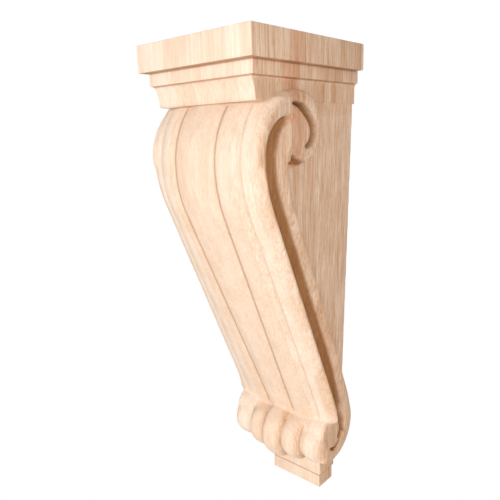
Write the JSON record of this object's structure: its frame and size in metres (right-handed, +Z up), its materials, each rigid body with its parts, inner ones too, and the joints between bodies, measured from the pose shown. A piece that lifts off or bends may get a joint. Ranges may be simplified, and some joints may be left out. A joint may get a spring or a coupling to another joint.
{
  "type": "corbel",
  "caption": "Carved wooden wall bracket with a stepped square cap, a lobed front strap that curls into a scroll on each side, a lobed roll and a small foot.",
  "frame": {"origin": "on the flat back that sits against the wall, centred across the width, half way up the height", "axes": "+X across the wall to the side seen in the reference view, +Y out of the back into the wall (the carved front faces -Y), +Z up"},
  "size_m": [0.2032, 0.2454, 0.7112],
  "materials": {
    "wood": "bare sanded hardwood, matt"
  },
  "bodies": {
    "root": {"corbel": "wood"}
  },
  "joints": []
}
